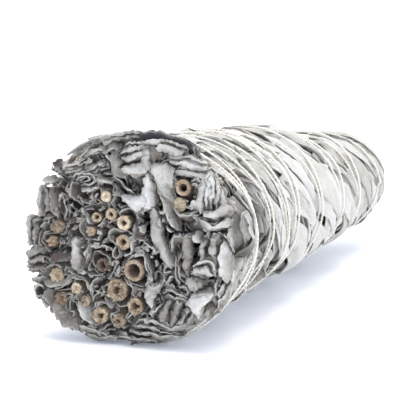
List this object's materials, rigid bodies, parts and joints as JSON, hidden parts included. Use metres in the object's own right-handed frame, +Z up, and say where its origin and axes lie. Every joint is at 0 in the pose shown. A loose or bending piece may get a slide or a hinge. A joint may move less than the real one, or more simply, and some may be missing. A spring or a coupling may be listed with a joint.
{
  "type": "sage bunch",
  "caption": "Bundle of dried white sage lying on its side: leafy cut stems wrapped in slanting silver-grey leaves and bound with thin cotton thread, open at the cut end.",
  "frame": {"origin": "on the surface under the middle of the bunch", "axes": "+Z up; +Y along the bunch from the cut stems to the leaf tips; +X to the right of someone facing the leaf tips"},
  "size_m": [0.0523, 0.167, 0.0498],
  "materials": {
    "stem": "dry, fibrous",
    "inner_leaf": "dry, felted, matt",
    "outer_leaf": "dry, felted, matt",
    "cotton_thread": "matt"
  },
  "bodies": {
    "root": {"stem_01": "stem", "stem_02": "stem", "stem_03": "stem", "stem_04": "stem", "stem_05": "stem", "stem_06": "stem", "stem_07": "stem", "stem_08": "stem", "stem_09": "stem", "stem_10": "stem", "stem_11": "stem", "stem_12": "stem", "stem_13": "stem", "stem_14": "stem", "stem_15": "stem", "stem_16": "stem", "stem_17": "stem", "stem_18": "stem", "stem_19": "stem", "stem_20": "stem", "sprig_leaves_01": "inner_leaf", "sprig_leaves_02": "inner_leaf", "sprig_leaves_03": "inner_leaf", "sprig_leaves_04": "inner_leaf", "sprig_leaves_05": "inner_leaf", "sprig_leaves_06": "inner_leaf", "sprig_leaves_07": "inner_leaf", "sprig_leaves_08": "inner_leaf", "sprig_leaves_09": "inner_leaf", "sprig_leaves_10": "inner_leaf", "sprig_leaves_11": "inner_leaf", "sprig_leaves_12": "inner_leaf", "sprig_leaves_13": "inner_leaf", "sprig_leaves_14": "inner_leaf", "sprig_leaves_15": "inner_leaf", "sprig_leaves_16": "inner_leaf", "sprig_leaves_17": "inner_leaf", "sprig_leaves_18": "inner_leaf", "sprig_leaves_19": "inner_leaf", "outer_leaf_01": "outer_leaf", "outer_leaf_02": "outer_leaf", "outer_leaf_03": "outer_leaf", "outer_leaf_04": "outer_leaf", "outer_leaf_05": "outer_leaf", "outer_leaf_06": "outer_leaf", "outer_leaf_07": "outer_leaf", "outer_leaf_08": "outer_leaf", "outer_leaf_09": "outer_leaf", "outer_leaf_10": "outer_leaf", "outer_leaf_11": "outer_leaf", "outer_leaf_12": "outer_leaf", "outer_leaf_13": "outer_leaf", "outer_leaf_14": "outer_leaf", "outer_leaf_15": "outer_leaf", "outer_leaf_16": "outer_leaf", "outer_leaf_17": "outer_leaf", "outer_leaf_18": "outer_leaf", "binding_thread": "cotton_thread"}
  },
  "joints": []
}
